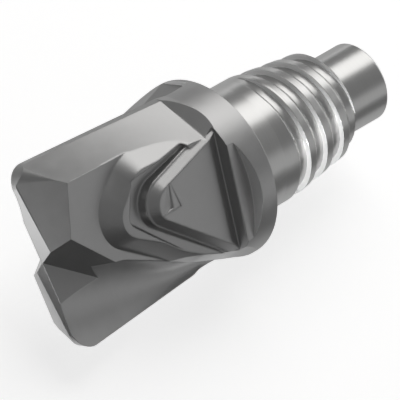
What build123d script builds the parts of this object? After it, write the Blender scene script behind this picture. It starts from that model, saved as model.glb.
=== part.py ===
"""Exchangeable two-flute milling head, one solid of cemented carbide, lying on its side.

The tool axis is the X axis: the cutting end is at -X, the threaded end at +X.
The origin is on the axis, in the collar's rear face, which seats on the holder.
Stations are distances along X. Azimuths are degrees about the axis, and they grow
clockwise for someone who looks along +X.
Everything on the cutting side is made twice, half a turn apart.
"""
import math
import os

from build123d import *

# Overall sizes, millimetres
cutting_radius = 8.0
collar_radius = 7.75
front_station = -19.15
pilot_end_station = 17.67

# How the head lies: this azimuth points straight up
up_azimuth = 249.0

# Cutting edges: straight lines that lean with the helix, between two stations
edge_front_azimuth = 10.1
edge_rear_azimuth = 27.9
edge_rear_station = -3.95
back_taper = 0.16
corner_radius = 1.9
land_width = 0.65
land_relief = 8.0
side_relief = 30.9
relief_runout_angle = 32.5
relief_runout_length = 1.8

# End cutting edges and their reliefs
end_land_relief = 7.0
end_land_width = 1.44
end_relief = 27.0
end_relief_skew = 5.8
heel_front_radius = 1.6
heel_end_radius = 0.05
heel_length = 3.6

# Flute floor, chip former, plateau and wrench flat, square to one azimuth
flat_azimuth = 297.5
floor_distance = 2.8
plateau_distance = 5.4
wrench_flat_distance = 6.5
step_station = -3.05
valley_width = 0.8
valley_depth = 0.12
tooth_back_station = -4.0
tooth_back_offset = 5.0
wrench_flat_station = -1.55
wrench_flat_end_radius = 11.0

# Chip former: a raised rim, then a groove, then an island with the plateau on top
rim_foot_side = 6.8
rim_foot_corner = (-11.15, 6.4)
rim_foot_nose = (-17.06, 1.48)
rim_foot_radius = 3.4
rim_foot_far_side = 11.0
rim_top_side = 5.45
rim_top_corner = (-11.2, 4.45)
rim_top_nose = (-12.73, 1.08)
rim_top_radius = 1.3
rim_top_far_side = 8.59
rim_front_station = -13.4
rim_front_distance = 4.2
rim_slope = 5.0
groove_depth = 0.6
groove_wall_angle = 15.0
groove_end_station = -6.0
groove_end_offset = 5.4
groove_corner_station = -11.7
groove_corner_offset = 4.5
groove_nose_station = -12.75
groove_nose_offset = 1.3
groove_far_station = -3.4
groove_far_offset = 7.4
groove_corner_radius = 0.3
groove_nose_radius = 0.9
plateau_nose_station = -12.08
plateau_nose_offset = 2.28
plateau_nose_radius = 1.5
plateau_rear_offset = 6.7
plateau_far_offset = 8.9
boss_rear_station = 2.0
ledge_distance = 4.7
island_wall_angle = 10.0
island_slope_angle = 42.0

# Beak: two shallow pits in the plateau's nose, one in the other, between two points of its rim
beak_upper_end = (-8.9, 3.7)
beak_lower_end = (-10.5, 0.95)
beak_tip_stations = (-8.15, -9.0)
beak_tip_offsets = (1.0, 1.2)
beak_depths = (0.07, 0.2)

# Rake channel beside the cutting edge: a hooked rake arc, a foot, then a wall
channel_foot_gap = 0.15
channel_front_foot = 1.7
channel_rear_foot = 0.5
channel_front_sag = 0.85
channel_rear_sag = 0.6
channel_sag_share = 0.45
channel_wall_offset = 1.9
channel_wall_station = -13.36
channel_wall_lean = 0.463
channel_front_lean = 0.2
channel_bend_station = -6.0
channel_rear_lean = 0.36
runout_azimuth = 17.0
runout_rise = 0.85
runout_end_station = -0.3
channel_flank_front_angle = 36.0
channel_flank_rear_angle = 64.0

# Gash that opens the end edge to the centre
gash_lean = 36.3
gash_opening = 116.0
centre_web = 0.12

# Seat, thread and pilot
seat_radius = 5.72
seat_small_radius = 5.5
seat_length = 3.5
thread_radius = 5.47
thread_taper = 7.1
thread_pitch = 2.216
thread_depth = 0.62
thread_crest_station = 6.13
thread_root_width = 0.77
load_flank_angle = 7.0
clearance_flank_angle = 45.0
thread_end_station = 12.9
thread_end_chamfer = 0.35
first_groove_station = 4.66
first_groove_azimuth = 270.0
thread_start_azimuth = 180.0
thread_fade_angle = 60.0
thread_section_step = 10.0
pilot_radius = 3.4
pilot_chamfer = 0.2

# Room that a cutting tool takes beyond the surface it leaves
beyond = 0.5
far = 6.0


def direction(azimuth):
    """Unit vector square to the axis, at an azimuth."""
    turn = math.radians(azimuth - up_azimuth)
    return Vector(0, -math.sin(turn), math.cos(turn))


def polar(radius, azimuth):
    """Point of a cross-section, in its own axes."""
    return Vector(radius * math.cos(math.radians(azimuth)), radius * math.sin(math.radians(azimuth)))


def across(station):
    """Cross-section plane, with local X at azimuth 0."""
    return Plane(origin=(station, 0, 0), x_dir=direction(0), z_dir=(1, 0, 0))


def facing(azimuth, distance):
    """Plane that faces an azimuth, with local X along the axis."""
    return Plane(origin=direction(azimuth) * distance, x_dir=(1, 0, 0), z_dir=direction(azimuth))


def lengthwise(azimuth):
    """Plane through the axis, with local X along it and local Y at an azimuth."""
    return Plane(origin=(0, 0, 0), x_dir=(1, 0, 0), z_dir=direction(azimuth + 90))


def sloping(azimuth, front_distance):
    """Plane that faces an azimuth and rises to the rear like the rim of the chip former."""
    slope = math.radians(rim_slope)
    rear_distance = front_distance - rim_front_station * math.tan(slope)
    return Plane(
        origin=direction(azimuth) * rear_distance,
        x_dir=Vector(math.cos(slope), 0, 0) + direction(azimuth) * math.sin(slope),
        z_dir=direction(azimuth) * math.cos(slope) - Vector(math.sin(slope), 0, 0),
    )


def between(first, last, share):
    """Value part of the way from one to another."""
    return first + (last - first) * share


def edge_share(station):
    """Part of the side edge's length that lies in front of a station."""
    return (station - front_station) / (edge_rear_station - front_station)


def edge_point(station, turn):
    """Where the straight side edge crosses a station."""
    front = polar(cutting_radius + back_taper / 2, edge_front_azimuth + turn)
    rear = polar(cutting_radius - back_taper, edge_rear_azimuth + turn)
    return between(front, rear, edge_share(station))


def edge_azimuth(station):
    """Azimuth that the edge has reached at a station."""
    return between(edge_front_azimuth, edge_rear_azimuth, edge_share(station))


def relief_section(station, lift, turn):
    """Outside of the side land and side relief, as a closed outline."""
    azimuth = edge_azimuth(station) + turn
    outwards = azimuth + side_relief
    edge = edge_point(station, turn) + polar(lift, outwards)
    land_end = edge + polar(land_width, azimuth + 90 + land_relief)
    chord_end = land_end + polar(2 * cutting_radius, outwards + 90)
    return [edge, land_end, chord_end, chord_end + polar(far, outwards), edge + polar(far, azimuth)]


def in_flute(sideways, distance, turn):
    """Point of a cross-section from the flute's own axes: across the floor and out from the axis."""
    return polar(distance, flat_azimuth + turn) + polar(sideways, flat_azimuth + 90 + turn)


def wall_offset(station):
    """How far across the flute the rake channel's inner wall stands at a station."""
    ahead = min(station - channel_wall_station, 0)
    middle = min(max(station, channel_wall_station), channel_bend_station) - channel_wall_station
    behind = max(station - channel_bend_station, 0)
    leaning = channel_front_lean * ahead + channel_wall_lean * middle + channel_rear_lean * behind
    return channel_wall_offset + leaning


def channel_section(station, turn):
    """Outline of the rake channel: rake arc, inner wall, flank of the chip former, open side."""
    share = (station - front_station) / (step_station - front_station)
    edge = edge_point(station, 0)
    edge_across = edge.dot(polar(1, flat_azimuth + 90))
    edge_out = edge.dot(polar(1, flat_azimuth))
    wall_across = wall_offset(station)
    foot_across = wall_across + channel_foot_gap
    foot_out = between(channel_front_foot, channel_rear_foot, share**2)
    sag_across = between(edge_across, foot_across, channel_sag_share)
    sag_out = (edge_out + foot_out) / 2 - between(channel_front_sag, channel_rear_sag, share)
    flank_angle = between(channel_flank_front_angle, channel_flank_rear_angle, share)
    flank_run = far / math.tan(math.radians(flank_angle))
    outline = [
        (edge_across, edge_out),
        (sag_across, sag_out),
        (foot_across, foot_out),
        (wall_across, floor_distance),
        (wall_across - flank_run, floor_distance + far),
        (edge_across + far, floor_distance + far),
        (edge_across + far, edge_out),
    ]
    return [in_flute(sideways, distance, turn) for sideways, distance in outline]


def channel_outline(station, shape_station, rise, turn):
    """Face of one channel section, moved outwards where the channel runs out."""
    outwards = polar(rise, runout_azimuth + turn)
    points = [point + outwards for point in channel_section(shape_station, turn)]
    with BuildSketch(across(station)) as section:
        with BuildLine():
            ThreePointArc(points[0], points[1], points[2])
            Polyline(*points[2:], points[0])
        make_face()
    return section.sketch.face()


def relief_outline(station, lift, turn):
    """Face of one side relief section."""
    with BuildSketch(across(station)) as section:
        with BuildLine():
            Polyline(*relief_section(station, lift, turn), close=True)
        make_face()
    return section.sketch.face()


def heel_outline(corner, along_side, along_end, radius):
    """Face between a corner of two reliefs and the arc that rounds it, with room outside."""
    half_angle = math.radians(along_side.get_angle(along_end) / 2)
    bisector = (along_side + along_end).normalized()
    reach = radius / math.tan(half_angle)
    section_plane = Plane(origin=corner, x_dir=along_side, z_dir=along_side.cross(along_end))
    points = [
        corner + along_side * reach,
        corner + bisector * (radius / math.sin(half_angle) - radius),
        corner + along_end * reach,
        corner - bisector * radius,
    ]
    points = [section_plane.to_local_coords(point) for point in points]
    with BuildSketch(section_plane) as section:
        with BuildLine():
            ThreePointArc(*points[:3])
            Polyline(points[2], points[3], points[0])
        make_face()
    return section.sketch.face()


def thread_section(turned):
    """Face of the thread groove, after it has turned by an angle from its start."""
    azimuth = thread_start_azimuth + turned
    station = first_groove_station + thread_pitch * (azimuth - first_groove_azimuth) / 360
    cone_radius = thread_radius - (station - thread_crest_station) * math.tan(math.radians(thread_taper))
    lift = thread_depth * max(0, 1 - turned / thread_fade_angle)
    root_radius = cone_radius + lift - thread_depth
    top_radius = cone_radius + beyond
    rear_run = (top_radius - root_radius) * math.tan(math.radians(clearance_flank_angle))
    front_run = (top_radius - root_radius) * math.tan(math.radians(load_flank_angle))
    root_station = station + thread_depth * math.tan(math.radians(clearance_flank_angle))
    with BuildSketch(lengthwise(azimuth)) as section:
        with BuildLine():
            Polyline(
                (root_station - rear_run, top_radius),
                (root_station, root_radius),
                (root_station + thread_root_width, root_radius),
                (root_station + thread_root_width + front_run, top_radius),
                close=True,
            )
        make_face()
    return section.sketch.face()


with BuildPart() as milling_head:
    # Stock, to be trimmed to the turned outline once the chip formers stand on it
    with BuildSketch(across(front_station)):
        Circle(cutting_radius + beyond)
    extrude(amount=pilot_end_station - front_station)

    for turn in (0, 180):
        flat = flat_azimuth + turn
        # Wrench flat with a curved end, then the step down to the plateau and to the floor
        with BuildSketch(facing(flat, wrench_flat_distance)):
            with Locations((wrench_flat_station - wrench_flat_end_radius, 0)):
                Circle(wrench_flat_end_radius)
        extrude(amount=far, mode=Mode.SUBTRACT)
        with BuildSketch(facing(flat, plateau_distance)):
            with Locations((step_station, 0)):
                Rectangle(2 * cutting_radius + far, 4 * cutting_radius, align=(Align.MAX, Align.CENTER))
        extrude(amount=far, mode=Mode.SUBTRACT)
        with BuildSketch(facing(flat, floor_distance)):
            with BuildLine():
                Polyline(
                    (step_station, -2 * cutting_radius),
                    (step_station, tooth_back_offset),
                    (tooth_back_station, tooth_back_offset),
                    (tooth_back_station, 2 * cutting_radius),
                    (2 * front_station, 2 * cutting_radius),
                    (2 * front_station, -2 * cutting_radius),
                    close=True,
                )
            make_face()
        extrude(amount=2 * far, mode=Mode.SUBTRACT)

    for turn in (0, 180):
        flat = flat_azimuth + turn
        # Rim of the chip former, steep at its side and flatter in front, with a top that rises to the rear
        rim_foot = ((boss_rear_station, rim_foot_side), rim_foot_corner, rim_foot_nose)
        rim_top = ((boss_rear_station, rim_top_side), rim_top_corner, rim_top_nose)
        for distance, outline, far_side, radius in (
            (floor_distance, rim_foot, rim_foot_far_side, rim_foot_radius),
            (plateau_distance, rim_top, rim_top_far_side, rim_top_radius),
        ):
            with BuildSketch(facing(flat, distance)):
                with BuildLine():
                    FilletPolyline(
                        *outline,
                        (boss_rear_station, -far_side),
                        radius=(0, radius, radius, 0),
                        close=True,
                    )
                make_face()
        loft(ruled=True)
        rim_rise = (step_station - rim_front_station) * math.tan(math.radians(rim_slope))
        with BuildSketch(lengthwise(flat)):
            with BuildLine():
                Polyline(
                    (front_station - beyond, rim_front_distance),
                    (rim_front_station, rim_front_distance),
                    (step_station, rim_front_distance + rim_rise),
                    (step_station, plateau_distance + beyond),
                    (front_station - beyond, plateau_distance + beyond),
                    close=True,
                )
            make_face()
        extrude(amount=2 * cutting_radius, both=True, mode=Mode.SUBTRACT)
        # Groove inside the rim, as deep all along
        groove_plane = sloping(flat, rim_front_distance - groove_depth)
        with BuildSketch(groove_plane):
            with BuildLine():
                FilletPolyline(
                    (groove_end_station, groove_end_offset),
                    (groove_corner_station, groove_corner_offset),
                    (groove_nose_station, groove_nose_offset),
                    (groove_far_station, -groove_far_offset),
                    (groove_far_station, 0),
                    radius=(groove_corner_radius, groove_corner_radius, groove_nose_radius, 0, 0),
                    close=True,
                )
            make_face()
        groove_reach = plateau_distance - rim_front_distance + groove_depth
        extrude(amount=groove_reach, taper=-groove_wall_angle, mode=Mode.SUBTRACT)
        # Island: a steep wall out of the groove, then a slope up to the plateau
        wall_base = rim_front_distance - groove_depth - beyond
        slope_run = (plateau_distance - ledge_distance) * math.tan(math.radians(island_slope_angle))
        wall_run = (plateau_distance - wall_base) * math.tan(math.radians(island_wall_angle))
        for base, top, spread, taper in (
            (ledge_distance, plateau_distance, slope_run, island_slope_angle),
            (wall_base, ledge_distance, slope_run + wall_run, island_wall_angle),
        ):
            with BuildSketch(facing(flat, base)):
                with BuildLine():
                    FilletPolyline(
                        (boss_rear_station, plateau_rear_offset),
                        (plateau_nose_station, plateau_nose_offset),
                        (boss_rear_station, -plateau_far_offset),
                        radius=plateau_nose_radius,
                        close=True,
                    )
                make_face()
                offset(amount=spread)
            extrude(amount=top - base, taper=taper)

        # Beak: each pit is deepest at its tip and runs out to the plateau's rim
        for tip_station, tip_offset, depth in zip(beak_tip_stations, beak_tip_offsets, beak_depths):
            surface = facing(flat, plateau_distance)
            upper_end = surface.from_local_coords(Vector(*beak_upper_end))
            lower_end = surface.from_local_coords(Vector(*beak_lower_end))
            tip = surface.from_local_coords(Vector(tip_station, tip_offset, -depth))
            rim_line = upper_end - lower_end
            pit = Plane(origin=lower_end, x_dir=rim_line, z_dir=rim_line.cross(lower_end - tip))
            with BuildSketch(pit):
                with BuildLine():
                    Polyline((0, 0), (rim_line.length, 0), pit.to_local_coords(tip), close=True)
                make_face()
            extrude(amount=beyond, mode=Mode.SUBTRACT)

        # Shallow valley between the plateau and the step
        with BuildSketch(lengthwise(flat)):
            with BuildLine():
                Polyline(
                    (step_station - valley_width, plateau_distance),
                    (step_station, plateau_distance - valley_depth),
                    (step_station, plateau_distance + beyond),
                    (step_station - valley_width, plateau_distance + beyond),
                    close=True,
                )
            make_face()
        extrude(amount=2 * cutting_radius, both=True, mode=Mode.SUBTRACT)

    # Turned outline: tooth zone, collar, seat, thread cone and pilot
    with BuildSketch(lengthwise(0)):
        with BuildLine():
            thread_end_radius = thread_radius - (thread_end_station - thread_crest_station) * math.tan(
                math.radians(thread_taper)
            )
            Polyline(
                (front_station, 0),
                (front_station, cutting_radius + back_taper),
                (edge_rear_station, cutting_radius - back_taper),
                (step_station, collar_radius),
                (0, collar_radius),
                (0, seat_radius),
                (seat_length, seat_small_radius),
                (thread_crest_station, thread_radius),
                (thread_end_station - thread_end_chamfer, thread_end_radius),
                (thread_end_station, thread_end_radius - thread_end_chamfer),
                (thread_end_station, pilot_radius),
                (pilot_end_station - pilot_chamfer, pilot_radius),
                (pilot_end_station, pilot_radius - pilot_chamfer),
                (pilot_end_station, 0),
                close=True,
            )
        make_face()
    revolve(axis=Axis.X, mode=Mode.INTERSECT)

    for turn in (0, 180):
        # Side land and side relief, with a flat ramp up to the collar
        runout_end = edge_rear_station + relief_runout_length
        lift = relief_runout_length * math.tan(math.radians(relief_runout_angle))
        relief = [
            relief_outline(front_station - beyond, 0, turn),
            relief_outline(edge_rear_station, 0, turn),
            relief_outline(runout_end, lift, turn),
        ]
        loft(sections=relief[:2], ruled=True, mode=Mode.SUBTRACT)
        loft(sections=relief[1:], ruled=True, mode=Mode.SUBTRACT)

    for turn in (0, 180):
        # Rake channel beside the cutting edge, and its run-out through the collar
        stations = (front_station - beyond, channel_wall_station, channel_bend_station, step_station)
        channel = [channel_outline(station, station, 0, turn) for station in stations]
        channel.append(channel_outline(runout_end_station, step_station, runout_rise, turn))
        for first, last in zip(channel, channel[1:]):
            loft(sections=[first, last], ruled=True, mode=Mode.SUBTRACT)

    for turn in (0, 180):
        # End land and end relief behind each end edge
        end_azimuth = edge_front_azimuth + turn
        reach = 2 * cutting_radius
        land_rise = end_land_width * math.tan(math.radians(end_land_relief))
        with BuildSketch(lengthwise(end_azimuth + 90)):
            with BuildLine():
                Polyline(
                    (front_station, 0),
                    (front_station + reach * math.tan(math.radians(end_land_relief)), reach),
                    (front_station - far, reach),
                    (front_station - far, 0),
                    close=True,
                )
            make_face()
        extrude(amount=reach, both=True, mode=Mode.SUBTRACT)
        with BuildSketch(lengthwise(end_azimuth + 90 - end_relief_skew)):
            with BuildLine():
                relief_station = front_station + land_rise
                Polyline(
                    (relief_station, end_land_width),
                    (relief_station + reach * math.tan(math.radians(end_relief)), end_land_width + reach),
                    (front_station - far, end_land_width + reach),
                    (front_station - far, end_land_width),
                    close=True,
                )
            make_face()
        extrude(amount=reach, both=True, mode=Mode.SUBTRACT)
        # Corner radius, relieved like the lands on both sides of it
        corner_station = front_station + corner_radius
        corner_azimuth = edge_azimuth(corner_station) + turn
        corner_distance = edge_point(corner_station, turn).length
        inwards = direction(corner_azimuth) * -math.tan(math.radians(land_relief))
        rearwards = Vector(math.tan(math.radians(end_land_relief)), 0, 0)
        sweep_direction = direction(corner_azimuth + 90) + inwards + rearwards
        corner_plane = Plane(
            origin=sweep_direction * -beyond,
            x_dir=(1, 0, 0),
            z_dir=direction(corner_azimuth + 90),
        )
        with BuildSketch(corner_plane):
            with BuildLine():
                CenterArc((corner_station, corner_distance - corner_radius), corner_radius, 90, 90)
                Polyline(
                    (front_station, corner_distance - corner_radius),
                    (front_station - far, corner_distance - corner_radius),
                    (front_station - far, corner_distance + far),
                    (corner_station, corner_distance + far),
                    (corner_station, corner_distance),
                )
            make_face()
        extrude(amount=2 * far, dir=sweep_direction, mode=Mode.SUBTRACT)
        # Heel behind the corner: a cone between the two reliefs, which narrows away from the edge
        corner = across(corner_station).from_local_coords(edge_point(corner_station, turn))
        side_land_end = corner + direction(corner_azimuth + 90 + land_relief) * land_width
        side_normal = direction(corner_azimuth + side_relief)
        end_behind = direction(end_azimuth + 90 - end_relief_skew)
        end_land_end = end_behind * end_land_width + Vector(relief_station, 0, 0)
        end_slope = math.radians(end_relief)
        end_normal = end_behind * math.sin(end_slope) - Vector(math.cos(end_slope), 0, 0)
        side_plane = Plane(origin=side_land_end, z_dir=side_normal)
        heel = side_plane.intersect(Plane(origin=end_land_end, z_dir=end_normal))
        backwards = heel.direction * math.copysign(1, heel.direction.dot(end_behind))
        heel_start = heel.position + backwards * (corner - heel.position).dot(backwards)
        heel_end = heel_start + backwards * heel_length
        along_side = side_normal.cross(backwards)
        along_side *= math.copysign(1, along_side.X)
        along_end = end_normal.cross(backwards)
        along_end *= -math.copysign(1, along_end.dot(side_normal))
        front_section = heel_outline(heel_start, along_side, along_end, heel_front_radius)
        end_section = heel_outline(heel_end, along_side, along_end, heel_end_radius)
        loft(sections=[front_section, end_section], ruled=True, mode=Mode.SUBTRACT)
        # Gash between the end edge and the flute floor
        lean = math.radians(gash_lean)
        outward = direction(end_azimuth)
        gash_plane = Plane(
            origin=Vector(front_station, 0, 0) - direction(end_azimuth + 90) * (centre_web / 2),
            x_dir=outward * math.cos(lean) - Vector(math.sin(lean), 0, 0),
            z_dir=outward * math.sin(lean) + Vector(math.cos(lean), 0, 0),
        )
        with BuildSketch(gash_plane):
            with BuildLine():
                Polyline((0, 0), (reach, 0), (reach, -reach), polar(reach, -gash_opening), close=True)
            make_face()
        extrude(amount=reach, both=True, mode=Mode.SUBTRACT)

    # Thread: one groove wound around the cone, shallow at its start, open at the cone's end
    thread_turn = 360 * (thread_end_station + beyond - first_groove_station) / thread_pitch
    sections = math.ceil((thread_turn + first_groove_azimuth - thread_start_azimuth) / thread_section_step)
    loft(
        sections=[thread_section(index * thread_section_step) for index in range(sections)],
        ruled=True,
        mode=Mode.SUBTRACT,
    )

milling_head.part.label = "milling_head"
os.makedirs("parts", exist_ok=True)
export_step(milling_head.part, "parts/milling_head.step")
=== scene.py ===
import math

import bpy
from mathutils import Matrix, Vector


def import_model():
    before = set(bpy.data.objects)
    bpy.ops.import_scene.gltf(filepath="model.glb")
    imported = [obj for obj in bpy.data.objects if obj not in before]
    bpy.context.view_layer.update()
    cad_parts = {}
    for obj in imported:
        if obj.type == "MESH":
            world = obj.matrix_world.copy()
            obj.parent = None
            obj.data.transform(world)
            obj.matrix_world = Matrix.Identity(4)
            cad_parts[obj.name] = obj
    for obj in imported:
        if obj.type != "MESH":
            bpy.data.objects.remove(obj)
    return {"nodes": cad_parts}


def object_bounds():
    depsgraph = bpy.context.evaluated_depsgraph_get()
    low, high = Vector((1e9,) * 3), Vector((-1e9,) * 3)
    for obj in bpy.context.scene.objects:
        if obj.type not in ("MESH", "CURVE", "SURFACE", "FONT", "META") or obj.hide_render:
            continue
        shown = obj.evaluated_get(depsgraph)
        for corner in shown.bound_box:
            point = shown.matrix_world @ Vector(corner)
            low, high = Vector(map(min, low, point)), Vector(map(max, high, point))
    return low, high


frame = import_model()
cad_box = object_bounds()

# How the photograph looks at the head: the tool axis is X, and up_azimuth points straight up.
# Lengths are in metres, here and below, apart from lens and sensor in millimetres, and
# axis_point and picture_side in points of the photograph.
view_turn = math.radians(36.75)
image_turn = math.radians(30.03)
up_azimuth = math.radians(249.0)
view_width = 0.03229
lens = 1500.0
sensor = 36.0
near_clip = 0.1
far_clip = 50.0
axis_point = (208.1, 167.7)
picture_side = 400.0

# Where the finish changes: stations along the axis, a radius about it, and how wide the changes are
pressed_front = -0.0128
pressed_front_blur = 0.0006
flat_front = -0.0025
collar_rear = 0.0
shank_margin = 0.00002
seat_end = 0.003
pressed_radius = 0.0071
pressed_blur = 0.0003

# Painted highlight: walls are painted lighter where their normal leans this far to the cutting end, so
# they look lit.
# The end walls of the wrench flats take up only a share of that painted highlight.
wall_lean_start = -0.55
wall_lean_full = -0.65
end_wall_highlight_share = 0.6

# Finish of the ground and pressed metal: darkest and lightest grey, smoothest and roughest.
# The greys change between two values of a noise.
front_greys = ((0.44, 0.44, 0.44, 1), (0.465, 0.465, 0.465, 1))
front_roughness = (0.36, 0.46)
shank_greys = ((0.535, 0.535, 0.53, 1), (0.555, 0.555, 0.55, 1))
shank_roughness = (0.27, 0.3)
# Painted highlight: the near white, rougher and less metallic finish of the walls that are painted
# lighter
painted_highlight_grey = (0.95, 0.95, 0.95, 1)
painted_highlight_roughness = 0.5
painted_highlight_metallic = 0.25
grey_stops = (0.3, 0.7)

# Edges that the shading rounds: radius and samples
ground_edge = (0.00008, 6)
pressed_edge = (0.00025, 8)
thread_edge = (0.00012, 8)

# Cloudy grain of the sintered body, and lines that turning and grinding leave round the shank
grain_scale = 900.0
grain_detail = 4.0
grain_strength = 0.06
grain_height = 0.00002
ring_stretch = (14000.0, 160.0, 160.0)
ring_detail = 3.0

# The stage
floor_height = cad_box[0][2]
floor_half = 3.0
floor_shade = 0.6
floor_glow = 0.68
card_rise = 0.0001
card_shade = 0.03
room_light = 0.22

# Cards that lie on the floor and don't overlap: name, left, right, front, back, glow
reflection_cards = (
    ("right_dark_card", -0.003, 0.16, -0.16, -0.014, 0.16),
    ("shank_card", 0.0, 0.16, -0.014, 0.06, 0.5),
    ("left_dark_card", -0.6, -0.003, -0.3, -0.0082, 0.07),
    ("front_dark_card", -0.027, -0.0196, -0.0082, 0.0045, 0.08),
    ("bright_card", -0.046, -0.0275, -0.0082, 0.04, 1.72),
    ("far_left_card", -0.6, -0.047, -0.0082, 0.06, 0.3),
    ("back_card", -0.6, 0.05, 0.061, 0.6, 0.1),
)

# Narrow lamp on the thread
thread_lamp_place = (-0.19, -0.21, 0.08)
thread_lamp_target = (0.0103, -0.0029, 0.0004)
thread_lamp_power = 2.8
thread_lamp_cone = math.radians(1.9)
thread_lamp_blend = 0.2
thread_lamp_radius = 0.002

# Soft lamps: name, place, target, width, height, radiance, colour
softboxes = (
    ("front_right", (0.42, -0.5, 0.13), (0, 0, 0), 0.5, 0.26, 0.34, (1, 1, 1)),
    ("right_end", (0.5, 0, 0.1), (0, 0, 0), 0.35, 0.35, 1.5, (1, 1, 1)),
    ("overhead", (0.45, 0.34, 0.5), (0.45, 0.34, 0), 0.9, 0.6, 1.54, (1, 0.99, 0.975)),
)


def add_object(name, data):
    made = bpy.data.objects.new(name, data)
    bpy.context.collection.objects.link(made)
    return made


def aim(made, place, target):
    """Put a lamp at a place and turn it to look at a target."""
    made.location = place
    made.rotation_mode = "QUATERNION"
    made.rotation_quaternion = (Vector(target) - Vector(place)).to_track_quat("-Z", "Y")


def camera():
    """A very long lens that looks from the photograph's angle."""
    axis = Vector((1, 0, 0))
    across = Vector((0, math.sin(up_azimuth), math.cos(up_azimuth)))
    inward = Vector((0, -math.cos(up_azimuth), math.sin(up_azimuth)))
    forward = axis * math.sin(view_turn) + inward * math.cos(view_turn)
    along = axis * math.cos(view_turn) - inward * math.sin(view_turn)
    right = along * math.cos(image_turn) + across * math.sin(image_turn)
    down = across * math.cos(image_turn) - along * math.sin(image_turn)
    scale = view_width / picture_side
    middle = right * (picture_side / 2 - axis_point[0]) * scale
    middle += down * (picture_side / 2 - axis_point[1]) * scale
    data = bpy.data.cameras.new("camera")
    data.lens = lens
    data.sensor_width = sensor
    data.clip_start = near_clip
    data.clip_end = far_clip
    made = add_object("camera", data)
    turn = Matrix((right, -down, -forward)).transposed()
    made.matrix_world = turn.to_4x4()
    made.location = middle - forward * (view_width * lens / sensor)
    bpy.context.scene.camera = made


def node(tree, kind, **settings):
    made = tree.nodes.new(kind)
    for key, value in settings.items():
        setattr(made, key, value)
    return made


def feed(tree, socket, value):
    """Link an output to a socket, or set the socket to a plain value."""
    if isinstance(value, bpy.types.NodeSocket):
        tree.links.new(value, socket)
    else:
        socket.default_value = value


def new_material(name):
    """An empty material: itself, its node tree and its output's surface socket."""
    material = bpy.data.materials.new(name)
    material.use_nodes = True
    tree = material.node_tree
    tree.nodes.clear()
    out = node(tree, "ShaderNodeOutputMaterial")
    return material, tree, out.inputs["Surface"]


def arithmetic(tree, operation, *values, clamp=False):
    made = node(tree, "ShaderNodeMath", operation=operation, use_clamp=clamp)
    for socket, value in zip(made.inputs, values):
        feed(tree, socket, value)
    return made.outputs["Value"]


def vector_arithmetic(tree, operation, *values):
    made = node(tree, "ShaderNodeVectorMath", operation=operation)
    for socket, value in zip(made.inputs, values):
        feed(tree, socket, value)
    return made


def fade(tree, value, start, end, low=0.0, high=1.0):
    """Turn the stretch from start to end into one from low to high, level beyond it."""
    made = node(tree, "ShaderNodeMapRange")
    feed(tree, made.inputs["Value"], value)
    feed(tree, made.inputs["From Min"], start)
    feed(tree, made.inputs["From Max"], end)
    feed(tree, made.inputs["To Min"], low)
    feed(tree, made.inputs["To Max"], high)
    return made.outputs["Result"]


def blend(tree, data_type, factor, first, second):
    made = node(tree, "ShaderNodeMix", data_type=data_type)
    feed(tree, made.inputs["Factor"], factor)
    feed(tree, made.inputs["A"], first)
    feed(tree, made.inputs["B"], second)
    return made.outputs["Result"]


def axis_part(tree, vector):
    """A vector's share along the tool axis."""
    made = node(tree, "ShaderNodeSeparateXYZ")
    feed(tree, made.inputs["Vector"], vector)
    return made.outputs["X"]


def stretched(tree, vector, scale):
    made = node(tree, "ShaderNodeMapping")
    feed(tree, made.inputs["Vector"], vector)
    feed(tree, made.inputs["Scale"], scale)
    return made.outputs["Vector"]


def noise(tree, vector, scale, detail):
    made = node(tree, "ShaderNodeTexNoise")
    feed(tree, made.inputs["Vector"], vector)
    feed(tree, made.inputs["Scale"], scale)
    feed(tree, made.inputs["Detail"], detail)
    return made.outputs["Fac"]


def greys(tree, factor, colours):
    """The first grey up to one value of a noise, the second past another, and a blend between."""
    made = node(tree, "ShaderNodeValToRGB")
    for stop, position, colour in zip(made.color_ramp.elements, grey_stops, colours):
        stop.position = position
        stop.color = colour
    feed(tree, made.inputs["Fac"], factor)
    return made.outputs["Color"]


def rounded_normal(tree, radius, samples):
    made = node(tree, "ShaderNodeBevel", samples=samples)
    feed(tree, made.inputs["Radius"], radius)
    return made.outputs["Normal"]


def converted_normal(tree, vector, source, target):
    made = node(tree, "ShaderNodeVectorTransform", vector_type="NORMAL")
    made.convert_from = source
    made.convert_to = target
    feed(tree, made.inputs["Vector"], vector)
    return made.outputs["Vector"]


def painted_highlight_walls(tree, station, lean):
    """Painted highlight: the thread's front flanks, and less so the end wall of each wrench flat, painted
    near white so that they look lit.
    """
    faces_front = fade(tree, lean, wall_lean_start, wall_lean_full)
    past_seat = arithmetic(tree, "GREATER_THAN", station, seat_end)
    past_flat_front = arithmetic(tree, "GREATER_THAN", station, flat_front)
    end_wall = arithmetic(tree, "MULTIPLY", past_flat_front, end_wall_highlight_share)
    highlight_zone = arithmetic(tree, "MAXIMUM", past_seat, end_wall)
    return arithmetic(tree, "MULTIPLY", faces_front, highlight_zone)


def pressed_zone(tree, station, from_axis):
    """The chip formers: behind the end relief, ahead of the collar's rear, inside the ground reliefs."""
    inside = fade(tree, from_axis, pressed_radius + pressed_blur, pressed_radius)
    behind = fade(tree, station, pressed_front - pressed_front_blur, pressed_front)
    ahead = fade(tree, station, collar_rear, collar_rear - pressed_blur)
    both = arithmetic(tree, "MULTIPLY", behind, ahead)
    return arithmetic(tree, "MULTIPLY", both, inside)


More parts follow.
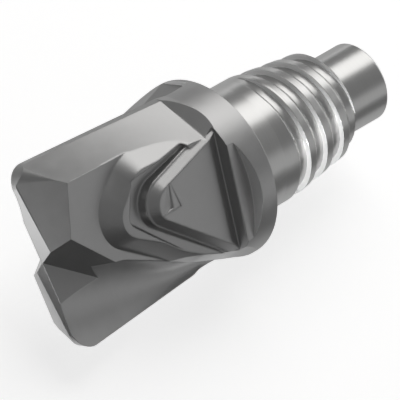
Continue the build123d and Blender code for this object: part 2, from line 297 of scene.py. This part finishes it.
def shank_normal(tree, outward):
    """Normals that lean straight outward, so that the facets of the turned surfaces don't show."""
    rounded = rounded_normal(tree, *thread_edge)
    lean = axis_part(tree, converted_normal(tree, rounded, "WORLD", "OBJECT"))
    square = arithmetic(tree, "MULTIPLY", lean, lean)
    rest = arithmetic(tree, "SUBTRACT", 1.0, square, clamp=True)
    share = arithmetic(tree, "SQRT", rest)
    direction = vector_arithmetic(tree, "NORMALIZE", outward).outputs["Vector"]
    scaled = vector_arithmetic(tree, "SCALE", direction)
    feed(tree, scaled.inputs["Scale"], share)
    axial = node(tree, "ShaderNodeCombineXYZ")
    feed(tree, axial.inputs["X"], lean)
    whole = vector_arithmetic(tree, "ADD", scaled.outputs["Vector"], axial.outputs["Vector"])
    return converted_normal(tree, whole.outputs["Vector"], "OBJECT", "WORLD")


def head_material():
    """Ground and polished cemented carbide: dark satin tooth zone and collar, bright shank."""
    material, tree, surface = new_material("carbide")
    shader = node(tree, "ShaderNodeBsdfPrincipled")
    feed(tree, surface, shader.outputs["BSDF"])

    place = node(tree, "ShaderNodeTexCoord")
    point = place.outputs["Object"]
    station = axis_part(tree, point)
    outward = stretched(tree, point, (0.0, 1.0, 1.0))
    from_axis = vector_arithmetic(tree, "LENGTH", outward).outputs["Value"]

    shank = arithmetic(tree, "GREATER_THAN", station, collar_rear + shank_margin)
    # Painted highlight on the thread's front flanks and on the end walls of the wrench flats
    painted_highlight_mask = painted_highlight_walls(tree, station, axis_part(tree, place.outputs["Normal"]))
    pressed = pressed_zone(tree, station, from_axis)

    grain = noise(tree, point, grain_scale, grain_detail)
    rings = noise(tree, stretched(tree, point, ring_stretch), 1.0, ring_detail)

    colour = blend(tree, "RGBA", shank, greys(tree, grain, front_greys), greys(tree, rings, shank_greys))
    # The painted highlight goes into the base colour, the metallic and the roughness
    feed(tree, shader.inputs["Base Color"], blend(tree, "RGBA", painted_highlight_mask, colour, painted_highlight_grey))
    feed(tree, shader.inputs["Metallic"], fade(tree, painted_highlight_mask, 0.0, 1.0, 1.0, painted_highlight_metallic))

    front_rough = fade(tree, grain, 0.0, 1.0, *front_roughness)
    shank_rough = fade(tree, rings, 0.0, 1.0, *shank_roughness)
    rough = blend(tree, "FLOAT", shank, front_rough, shank_rough)
    feed(tree, shader.inputs["Roughness"], blend(tree, "FLOAT", painted_highlight_mask, rough, painted_highlight_roughness))

    crisp = rounded_normal(tree, *ground_edge)
    soft = rounded_normal(tree, *pressed_edge)
    front_normal = blend(tree, "VECTOR", pressed, crisp, soft)
    bump = node(tree, "ShaderNodeBump")
    feed(tree, bump.inputs["Strength"], grain_strength)
    feed(tree, bump.inputs["Distance"], grain_height)
    feed(tree, bump.inputs["Height"], grain)
    smooth = shank_normal(tree, outward)
    feed(tree, bump.inputs["Normal"], blend(tree, "VECTOR", shank, front_normal, smooth))
    feed(tree, shader.inputs["Normal"], bump.outputs["Normal"])
    return material


def glow_material(name, shade, glow):
    """Matt grey which is also seen, by the camera and in reflections, with a white glow of its own."""
    material, tree, surface = new_material(name)
    diffuse = node(tree, "ShaderNodeBsdfDiffuse")
    feed(tree, diffuse.inputs["Color"], (shade, shade, shade, 1))
    rays = node(tree, "ShaderNodeLightPath")
    seen = arithmetic(tree, "MAXIMUM", rays.outputs["Is Camera Ray"], rays.outputs["Is Glossy Ray"])
    emission = node(tree, "ShaderNodeEmission")
    feed(tree, emission.inputs["Strength"], arithmetic(tree, "MULTIPLY", seen, glow))
    both = node(tree, "ShaderNodeAddShader")
    feed(tree, both.inputs[0], diffuse.outputs["BSDF"])
    feed(tree, both.inputs[1], emission.outputs["Emission"])
    feed(tree, surface, both.outputs["Shader"])
    return material


def sheet(name, left, right, front, back, height, material):
    """One flat level sheet of the stage."""
    mesh = bpy.data.meshes.new(name)
    corners = [(left, front, height), (right, front, height), (right, back, height), (left, back, height)]
    mesh.from_pydata(corners, [], [(0, 1, 2, 3)])
    mesh.materials.append(material)
    made = add_object(name, mesh)
    return made


def floor():
    """Pale floor under the resting head."""
    material = glow_material("pale_floor", floor_shade, floor_glow)
    sheet("floor", -floor_half, floor_half, -floor_half, floor_half, floor_height, material)


def reflection_card(name, left, right, front, back, glow):
    """Card lying by the head, which only its reflections show."""
    material = glow_material(name, card_shade, glow)
    card = sheet(name, left, right, front, back, floor_height + card_rise, material)
    card.visible_camera = False
    card.visible_diffuse = False
    card.visible_shadow = False
    card.visible_transmission = False


def softbox(name, place, target, width, height, radiance, colour):
    """A soft rectangular lamp of a given brightness that looks at a point."""
    data = bpy.data.lights.new(name, "AREA")
    data.shape = "RECTANGLE"
    data.size = width
    data.size_y = height
    data.energy = radiance * math.pi * width * height
    data.color = colour
    aim(add_object(name, data), place, target)


def thread_fill():
    """A narrow lamp for the thread, whose front flanks turn away from the large lamps."""
    data = bpy.data.lights.new("thread_fill", "SPOT")
    data.energy = thread_lamp_power
    data.spot_size = thread_lamp_cone
    data.spot_blend = thread_lamp_blend
    data.shadow_soft_size = thread_lamp_radius
    aim(add_object("thread_fill", data), thread_lamp_place, thread_lamp_target)


def world():
    """Even grey room light."""
    made = bpy.data.worlds.new("room")
    bpy.context.scene.world = made
    made.use_nodes = True
    background = made.node_tree.nodes["Background"]
    background.inputs["Color"].default_value = (1, 1, 1, 1)
    background.inputs["Strength"].default_value = room_light


camera()
floor()
for card in reflection_cards:
    reflection_card(*card)
world()
thread_fill()
for lamp in softboxes:
    softbox(*lamp)

carbide = head_material()
for slot in frame["nodes"]["milling_head"].material_slots:
    slot.material = carbide

bpy.context.scene.view_settings.view_transform = "Standard"
